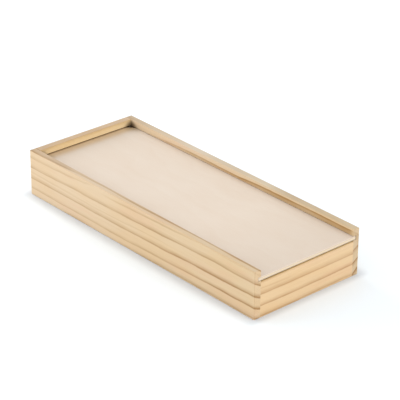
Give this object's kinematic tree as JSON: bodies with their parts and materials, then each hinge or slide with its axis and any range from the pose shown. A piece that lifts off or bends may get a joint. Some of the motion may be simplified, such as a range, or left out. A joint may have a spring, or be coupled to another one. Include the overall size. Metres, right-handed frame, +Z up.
{
  "type": "domino storage box",
  "caption": "Low rectangular wooden box for domino tiles, with a thin plywood lid that slides out over its low front wall.",
  "frame": {"origin": "middle of the underside", "axes": "+X along the box towards the end where the lid slides out, +Y across it, +Z up"},
  "size_m": [0.19, 0.075, 0.028],
  "materials": {
    "pine": "bare sanded pine",
    "lid_plywood": "bare sanded pale plywood",
    "bottom_plywood": "bare pale plywood"
  },
  "bodies": {
    "box": {"right_wall": "pine", "left_wall": "pine", "back_wall": "pine", "front_wall": "pine", "bottom_panel": "bottom_plywood"},
    "lid": {"sliding_lid": "lid_plywood"}
  },
  "joints": [
    {"name": "lid_slide", "type": "slide", "parent": "box", "child": "lid", "axis": [1, 0, 0], "range_m": [0, 0.19]}
  ]
}
